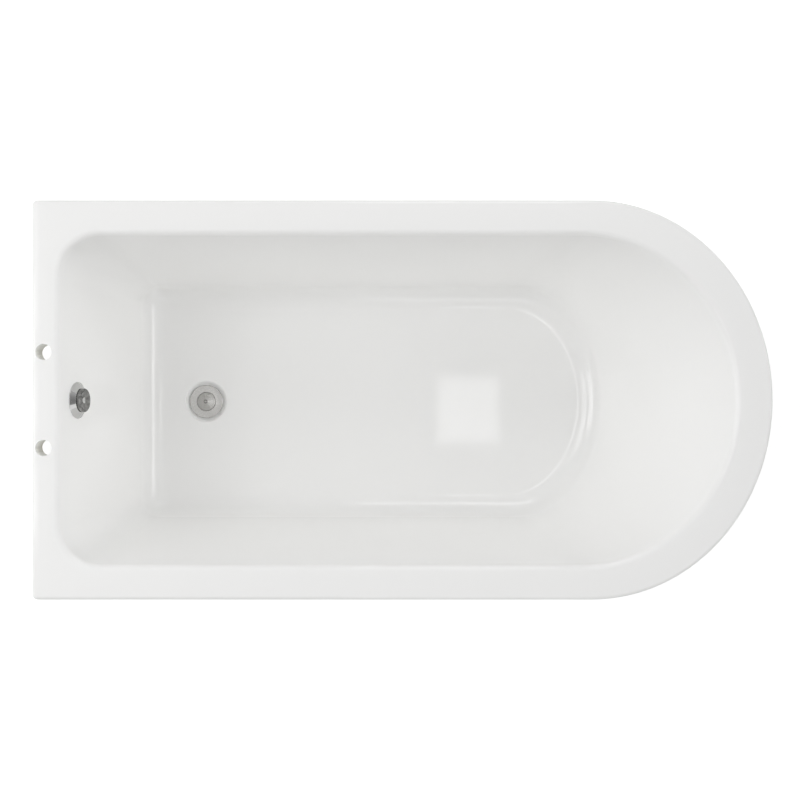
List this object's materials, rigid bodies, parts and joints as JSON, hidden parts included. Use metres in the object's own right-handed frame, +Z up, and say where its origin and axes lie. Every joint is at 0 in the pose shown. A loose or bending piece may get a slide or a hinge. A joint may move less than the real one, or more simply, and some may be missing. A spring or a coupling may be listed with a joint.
{
  "type": "bathtub",
  "caption": "Acrylic bathtub with a square tap end and a round end, pop-up waste, overflow knob, wrap-round panel and adjustable feet.",
  "frame": {"origin": "middle of the footprint, at the level of the floor under the foot pads", "axes": "+X along the bath from the tap end to the round end, +Y towards the wall side, +Z up"},
  "size_m": [1.39, 0.75, 0.56],
  "materials": {
    "acrylic": "gloss white formed acrylic",
    "panel_acrylic": "gloss white sheet",
    "glass_fibre": "rough glass fibre and resin",
    "chipboard": "flat pressed board with resin runs",
    "plywood": "sawn plywood",
    "sealed_board": "board sealed with pale resin",
    "softwood": "planed softwood",
    "galvanised_steel": "zinc coated folded steel",
    "zinc_screw": "bright zinc plate",
    "zinc_rod": "zinc plated thread",
    "black_plastic": "moulded black plastic",
    "grey_plastic": "moulded grey plastic",
    "white_plastic": "moulded white plastic",
    "hose_plastic": "ribbed white hose",
    "cable_sheath": "smooth black sheath",
    "rubber": "black seal rubber",
    "chrome": "polished chrome",
    "cast_zinc": "plain casting"
  },
  "bodies": {
    "bath": {"bath_shell": "acrylic", "glass_fibre_backing": "glass_fibre", "base_board": "chipboard", "tap_deck_board": "sealed_board", "rim_batten_front": "softwood", "rim_batten_back": "softwood", "rim_batten_round": "plywood", "foot_channel_tap": "galvanised_steel", "foot_channel_round": "galvanised_steel", "channel_screws": "zinc_screw", "rod_nuts": "zinc_screw", "wall_brackets": "galvanised_steel", "bracket_screws": "zinc_screw", "wrap_panel": "panel_acrylic", "panel_floor_clips": "grey_plastic", "waste_flange": "chrome", "flange_gasket": "rubber", "waste_gasket": "rubber", "waste_body": "white_plastic", "lever_cover": "grey_plastic", "trap_inlet_nut": "white_plastic", "trap_body": "white_plastic", "trap_cleaning_cap": "white_plastic", "trap_outlet_nut": "white_plastic", "waste_pipe": "white_plastic", "overflow_rose": "chrome", "overflow_clamp_ring": "black_plastic", "overflow_gasket": "rubber", "overflow_body": "white_plastic", "overflow_hose": "hose_plastic", "hose_nuts": "grey_plastic", "bowden_cable": "cable_sheath", "cable_clips": "black_plastic"},
    "foot_tap_front": {"foot_rod_tap_front": "zinc_rod", "foot_pad_tap_front": "black_plastic"},
    "foot_tap_back": {"foot_rod_tap_back": "zinc_rod", "foot_pad_tap_back": "black_plastic"},
    "foot_round_front": {"foot_rod_round_front": "zinc_rod", "foot_pad_round_front": "black_plastic"},
    "foot_round_back": {"foot_rod_round_back": "zinc_rod", "foot_pad_round_back": "black_plastic"},
    "lever": {"lift_lever": "cast_zinc"},
    "plug": {"waste_plug": "chrome", "plug_seal": "rubber"},
    "knob": {"overflow_knob": "chrome", "knob_cap": "chrome", "overflow_spindle": "cast_zinc", "cable_pulley": "black_plastic"}
  },
  "joints": [
    {"name": "knob_turn", "type": "hinge", "parent": "bath", "child": "knob", "pos_m": [-0.63032, 0, 0.485], "axis": [0.981, 0, 0.1939], "range_deg": [0, 110]},
    {"name": "lever_turn", "type": "hinge", "parent": "bath", "child": "lever", "pos_m": [-0.416, 0, 0.1115], "axis": [0, 1, 0], "range_deg": [0, 34]},
    {"name": "plug_lift", "type": "slide", "parent": "bath", "child": "plug", "axis": [0, 0, 1], "range_m": [0, 0.01287]},
    {"name": "foot_height_tap_front", "type": "slide", "parent": "bath", "child": "foot_tap_front", "axis": [0, 0, -1], "range_m": [-0.025, 0.025]},
    {"name": "foot_height_tap_back", "type": "slide", "parent": "bath", "child": "foot_tap_back", "axis": [0, 0, -1], "range_m": [-0.025, 0.025]},
    {"name": "foot_height_round_front", "type": "slide", "parent": "bath", "child": "foot_round_front", "axis": [0, 0, -1], "range_m": [-0.025, 0.025]},
    {"name": "foot_height_round_back", "type": "slide", "parent": "bath", "child": "foot_round_back", "axis": [0, 0, -1], "range_m": [-0.025, 0.025]}
  ],
  "couplings": [
    {"joint": "lever_turn", "follows": "knob_turn", "ratio": 0.30909},
    {"joint": "plug_lift", "follows": "knob_turn", "m_per_rad": 0.0067007}
  ]
}
